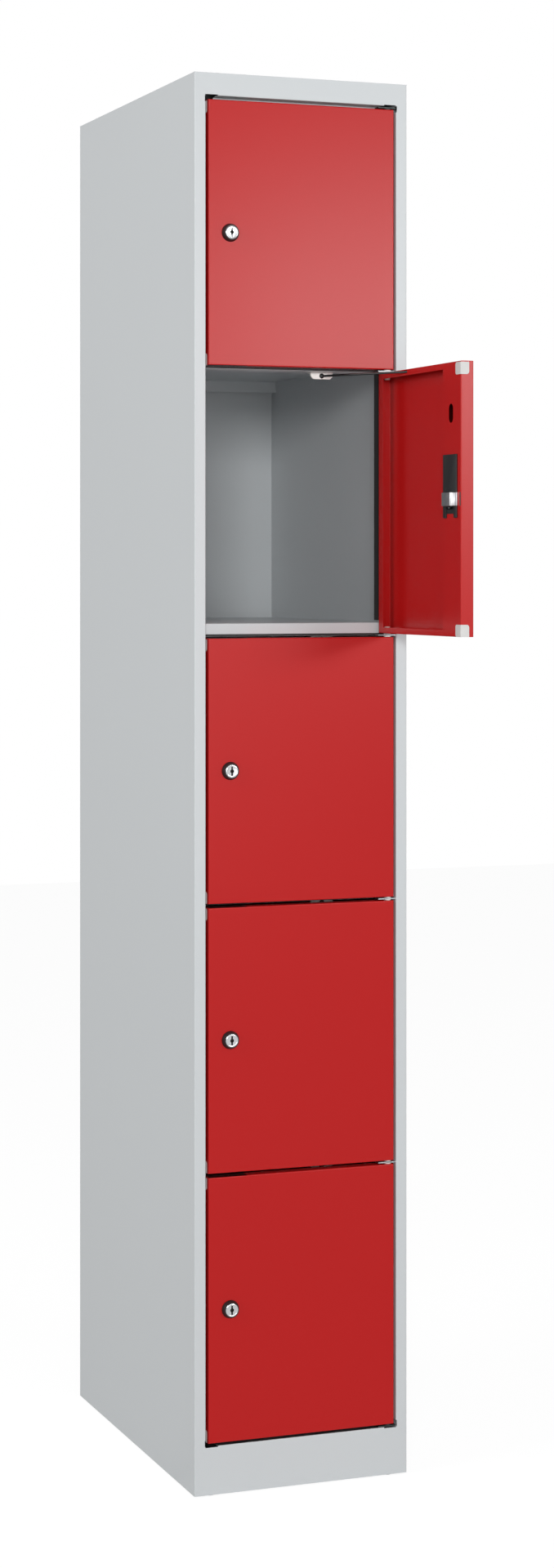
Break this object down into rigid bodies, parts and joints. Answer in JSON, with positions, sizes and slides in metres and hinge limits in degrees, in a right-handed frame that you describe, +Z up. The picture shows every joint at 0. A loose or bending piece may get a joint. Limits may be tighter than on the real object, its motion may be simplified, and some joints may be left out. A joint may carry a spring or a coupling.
{
  "type": "compartment locker",
  "caption": "Tall narrow folded-steel locker with stacked lockable compartments, key locks, concealed hinge pins and door stays; one door stands open.",
  "frame": {"origin": "on the floor, at the centre of the rectangle between the four feet and under the middle of the cabinet", "axes": "+X to the right as one faces the doors, +Y from the doors to the back, +Z up"},
  "size_m": [0.3, 0.7492, 1.852],
  "materials": {
    "cabinet_paint": "light grey powder coat, satin",
    "door_paint": "red powder coat, satin",
    "black_plastic": "fine satin",
    "black_rod": "black lacquer",
    "white_plastic": "satin nylon",
    "grey_plastic": "satin",
    "chrome": "polished",
    "zinc": "bright zinc"
  },
  "bodies": {
    "cabinet": {"side_left": "cabinet_paint", "side_right": "cabinet_paint", "back_panel": "cabinet_paint", "roof": "cabinet_paint", "floor_plate": "cabinet_paint", "shelf_1": "cabinet_paint", "shelf_2": "cabinet_paint", "shelf_3": "cabinet_paint", "shelf_4": "cabinet_paint", "stop_strips": "black_plastic", "hinge_tabs": "zinc", "hinge_pins": "chrome", "stay_brackets": "white_plastic", "levelling_feet": "grey_plastic", "corner_plates": "zinc"},
    "door_1": {"door_1": "door_paint", "door_bushes_1": "white_plastic", "corner_caps_1": "grey_plastic", "lock_housing_1": "black_plastic", "lock_case_1": "black_plastic"},
    "plug_1": {"lock_plug_1": "chrome"},
    "bolt_1": {"lock_bolt_1": "zinc"},
    "rod_1": {"stay_rod_1": "black_rod"},
    "ball_1": {"stay_ball_1": "black_plastic"},
    "door_2": {"door_2": "door_paint", "door_bushes_2": "white_plastic", "corner_caps_2": "grey_plastic", "lock_housing_2": "black_plastic", "lock_case_2": "black_plastic"},
    "plug_2": {"lock_plug_2": "chrome"},
    "bolt_2": {"lock_bolt_2": "zinc"},
    "rod_2": {"stay_rod_2": "black_rod"},
    "ball_2": {"stay_ball_2": "black_plastic"},
    "door_3": {"door_3": "door_paint", "door_bushes_3": "white_plastic", "corner_caps_3": "grey_plastic", "lock_housing_3": "black_plastic", "lock_case_3": "black_plastic"},
    "plug_3": {"lock_plug_3": "chrome"},
    "bolt_3": {"lock_bolt_3": "zinc"},
    "rod_3": {"stay_rod_3": "black_rod"},
    "ball_3": {"stay_ball_3": "black_plastic"},
    "door_4": {"door_4": "door_paint", "door_bushes_4": "white_plastic", "corner_caps_4": "grey_plastic", "lock_housing_4": "black_plastic", "lock_case_4": "black_plastic"},
    "plug_4": {"lock_plug_4": "chrome"},
    "bolt_4": {"lock_bolt_4": "zinc"},
    "rod_4": {"stay_rod_4": "black_rod"},
    "ball_4": {"stay_ball_4": "black_plastic"},
    "door_5": {"door_5": "door_paint", "door_bushes_5": "white_plastic", "corner_caps_5": "grey_plastic", "lock_housing_5": "black_plastic", "lock_case_5": "black_plastic"},
    "plug_5": {"lock_plug_5": "chrome"},
    "bolt_5": {"lock_bolt_5": "zinc"},
    "rod_5": {"stay_rod_5": "black_rod"},
    "ball_5": {"stay_ball_5": "black_plastic"}
  },
  "joints": [
    {"name": "door_1_hinge", "type": "hinge", "parent": "cabinet", "child": "door_1", "pos_m": [0.125, -0.2426, 1.6447], "axis": [0, 0, 1], "range_deg": [0, 90]},
    {"name": "plug_1_turn", "type": "hinge", "parent": "door_1", "child": "plug_1", "pos_m": [-0.10055, -0.25, 1.6447], "axis": [0, 1, 0], "range_deg": [0, 90]},
    {"name": "bolt_1_slide", "type": "slide", "parent": "door_1", "child": "bolt_1", "axis": [-1, 0, 0], "range_m": [0, 0.018]},
    {"name": "rod_1_swivel", "type": "hinge", "parent": "door_1", "child": "rod_1", "pos_m": [0.03712, -0.238, 1.8145], "axis": [0, 0, 1], "range_deg": [-45, 0]},
    {"name": "ball_1_swivel", "type": "hinge", "parent": "cabinet", "child": "ball_1", "pos_m": [0.04326, -0.21, 1.8145], "axis": [0, 0, 1], "range_deg": [0, 45]},
    {"name": "door_2_hinge", "type": "hinge", "parent": "cabinet", "child": "door_2", "pos_m": [0.125, -0.2426, 1.2939], "axis": [0, 0, 1], "range_deg": [-90, 0]},
    {"name": "plug_2_turn", "type": "hinge", "parent": "door_2", "child": "plug_2", "pos_m": [0.1324, -0.46815, 1.2939], "axis": [-1, 0, 0], "range_deg": [0, 90]},
    {"name": "bolt_2_slide", "type": "slide", "parent": "door_2", "child": "bolt_2", "axis": [0, -1, 0], "range_m": [0, 0.018]},
    {"name": "rod_2_swivel", "type": "hinge", "parent": "door_2", "child": "rod_2", "pos_m": [0.1204, -0.33048, 1.4637], "axis": [0, 0, 1], "range_deg": [0, 45]},
    {"name": "ball_2_swivel", "type": "hinge", "parent": "cabinet", "child": "ball_2", "pos_m": [0.04326, -0.21, 1.4637], "axis": [0, 0, 1], "range_deg": [-45, 0]},
    {"name": "door_3_hinge", "type": "hinge", "parent": "cabinet", "child": "door_3", "pos_m": [0.125, -0.2426, 0.9431], "axis": [0, 0, 1], "range_deg": [0, 90]},
    {"name": "plug_3_turn", "type": "hinge", "parent": "door_3", "child": "plug_3", "pos_m": [-0.10055, -0.25, 0.9431], "axis": [0, 1, 0], "range_deg": [0, 90]},
    {"name": "bolt_3_slide", "type": "slide", "parent": "door_3", "child": "bolt_3", "axis": [-1, 0, 0], "range_m": [0, 0.018]},
    {"name": "rod_3_swivel", "type": "hinge", "parent": "door_3", "child": "rod_3", "pos_m": [0.03712, -0.238, 1.1129], "axis": [0, 0, 1], "range_deg": [-45, 0]},
    {"name": "ball_3_swivel", "type": "hinge", "parent": "cabinet", "child": "ball_3", "pos_m": [0.04326, -0.21, 1.1129], "axis": [0, 0, 1], "range_deg": [0, 45]},
    {"name": "door_4_hinge", "type": "hinge", "parent": "cabinet", "child": "door_4", "pos_m": [0.125, -0.2426, 0.5923], "axis": [0, 0, 1], "range_deg": [0, 90]},
    {"name": "plug_4_turn", "type": "hinge", "parent": "door_4", "child": "plug_4", "pos_m": [-0.10055, -0.25, 0.5923], "axis": [0, 1, 0], "range_deg": [0, 90]},
    {"name": "bolt_4_slide", "type": "slide", "parent": "door_4", "child": "bolt_4", "axis": [-1, 0, 0], "range_m": [0, 0.018]},
    {"name": "rod_4_swivel", "type": "hinge", "parent": "door_4", "child": "rod_4", "pos_m": [0.03712, -0.238, 0.7621], "axis": [0, 0, 1], "range_deg": [-45, 0]},
    {"name": "ball_4_swivel", "type": "hinge", "parent": "cabinet", "child": "ball_4", "pos_m": [0.04326, -0.21, 0.7621], "axis": [0, 0, 1], "range_deg": [0, 45]},
    {"name": "door_5_hinge", "type": "hinge", "parent": "cabinet", "child": "door_5", "pos_m": [0.125, -0.2426, 0.2415], "axis": [0, 0, 1], "range_deg": [0, 90]},
    {"name": "plug_5_turn", "type": "hinge", "parent": "door_5", "child": "plug_5", "pos_m": [-0.10055, -0.25, 0.2415], "axis": [0, 1, 0], "range_deg": [0, 90]},
    {"name": "bolt_5_slide", "type": "slide", "parent": "door_5", "child": "bolt_5", "axis": [-1, 0, 0], "range_m": [0, 0.018]},
    {"name": "rod_5_swivel", "type": "hinge", "parent": "door_5", "child": "rod_5", "pos_m": [0.03712, -0.238, 0.4113], "axis": [0, 0, 1], "range_deg": [-45, 0]},
    {"name": "ball_5_swivel", "type": "hinge", "parent": "cabinet", "child": "ball_5", "pos_m": [0.04326, -0.21, 0.4113], "axis": [0, 0, 1], "range_deg": [0, 45]}
  ],
  "couplings": [
    {"joint": "plug_1_turn", "follows": "bolt_1_slide", "rad_per_m": 87.266},
    {"joint": "rod_1_swivel", "follows": "door_1_hinge", "ratio": -0.5},
    {"joint": "ball_1_swivel", "follows": "door_1_hinge", "ratio": 0.5},
    {"joint": "plug_2_turn", "follows": "bolt_2_slide", "rad_per_m": 87.266},
    {"joint": "rod_2_swivel", "follows": "door_2_hinge", "ratio": -0.5},
    {"joint": "ball_2_swivel", "follows": "door_2_hinge", "ratio": 0.5},
    {"joint": "plug_3_turn", "follows": "bolt_3_slide", "rad_per_m": 87.266},
    {"joint": "rod_3_swivel", "follows": "door_3_hinge", "ratio": -0.5},
    {"joint": "ball_3_swivel", "follows": "door_3_hinge", "ratio": 0.5},
    {"joint": "plug_4_turn", "follows": "bolt_4_slide", "rad_per_m": 87.266},
    {"joint": "rod_4_swivel", "follows": "door_4_hinge", "ratio": -0.5},
    {"joint": "ball_4_swivel", "follows": "door_4_hinge", "ratio": 0.5},
    {"joint": "plug_5_turn", "follows": "bolt_5_slide", "rad_per_m": 87.266},
    {"joint": "rod_5_swivel", "follows": "door_5_hinge", "ratio": -0.5},
    {"joint": "ball_5_swivel", "follows": "door_5_hinge", "ratio": 0.5}
  ]
}
